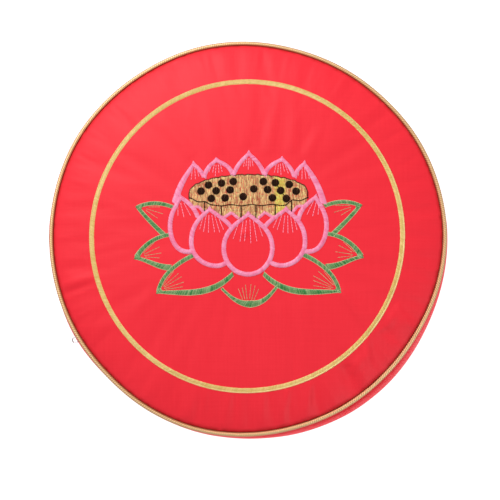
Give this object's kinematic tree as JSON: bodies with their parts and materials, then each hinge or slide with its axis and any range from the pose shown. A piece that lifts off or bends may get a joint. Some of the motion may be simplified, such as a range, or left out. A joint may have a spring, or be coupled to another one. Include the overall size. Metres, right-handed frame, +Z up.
{
  "type": "round cushion",
  "caption": "Round boxed floor cushion with a crowned embroidered top, a puffed side band and twisted-cord piping, for sitting or kneeling on.",
  "frame": {"origin": "middle of the flat underside, on the surface that the cushion rests on", "axes": "+Z up out of the embroidered face, +Y towards the top of its flower, +X to the flower's right"},
  "size_m": [0.4011, 0.4, 0.102],
  "materials": {
    "red_satin": "satin",
    "gold_cord": "satin",
    "nickel_wire": "satin",
    "gold_thread": "satin",
    "pink_thread": "satin",
    "green_thread": "satin",
    "dark_thread": "satin"
  },
  "bodies": {
    "root": {"cushion": "red_satin", "top_piping": "gold_cord", "bottom_piping": "gold_cord", "pull_ring": "nickel_wire"}
  },
  "joints": []
}
